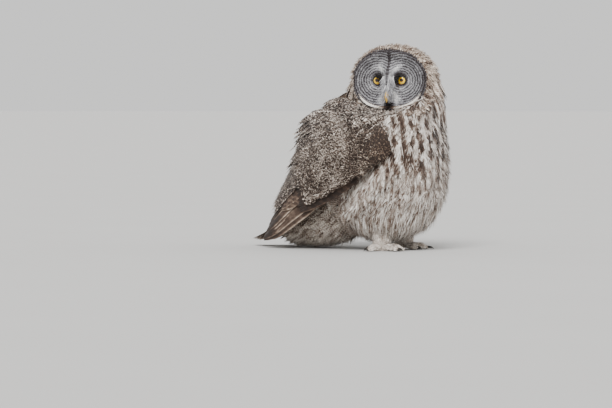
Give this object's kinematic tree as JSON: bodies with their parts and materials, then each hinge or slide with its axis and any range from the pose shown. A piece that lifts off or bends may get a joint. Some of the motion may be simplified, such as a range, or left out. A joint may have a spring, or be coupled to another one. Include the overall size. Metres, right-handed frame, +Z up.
{
  "type": "great grey owl model",
  "caption": "Life-size standing owl with a round feathered head turned to one side, folded wings and a long tail laid on the floor",
  "frame": {"origin": "bottom centre of the part's box, on the floor that the soles stand on", "axes": "+Z up, the body faces -Y, the bird's left wing is at +X"},
  "size_m": [0.3032, 0.4985, 0.4496],
  "materials": {
    "plumage_face": "soft grey facial disc feathers with fine dark rings",
    "plumage_body": "loose pale grey body feathers with dark brown streaks",
    "plumage_wing": "dark brown wing feathers mottled with grey and buff",
    "plumage_tail": "dark brown barred tail feathers",
    "leg_feathers": "short dense grey feathers",
    "eye": "glossy yellow eye with a small black pupil",
    "bill": "satin yellow horn",
    "claw": "satin black horn"
  },
  "bodies": {
    "root": {"head": "plumage_face", "neck": "plumage_body", "torso": "plumage_body", "wing_left": "plumage_wing", "wing_right": "plumage_wing", "tail": "plumage_tail", "leg_left": "leg_feathers", "leg_right": "leg_feathers", "foot_left": "leg_feathers", "foot_right": "leg_feathers", "eye_left": "eye", "eye_right": "eye", "bill_upper": "bill", "bill_lower": "bill", "claw_left_inner": "claw", "claw_left_middle": "claw", "claw_left_outer": "claw", "claw_left_hind": "claw", "claw_right_inner": "claw", "claw_right_middle": "claw", "claw_right_outer": "claw", "claw_right_hind": "claw"}
  },
  "joints": []
}
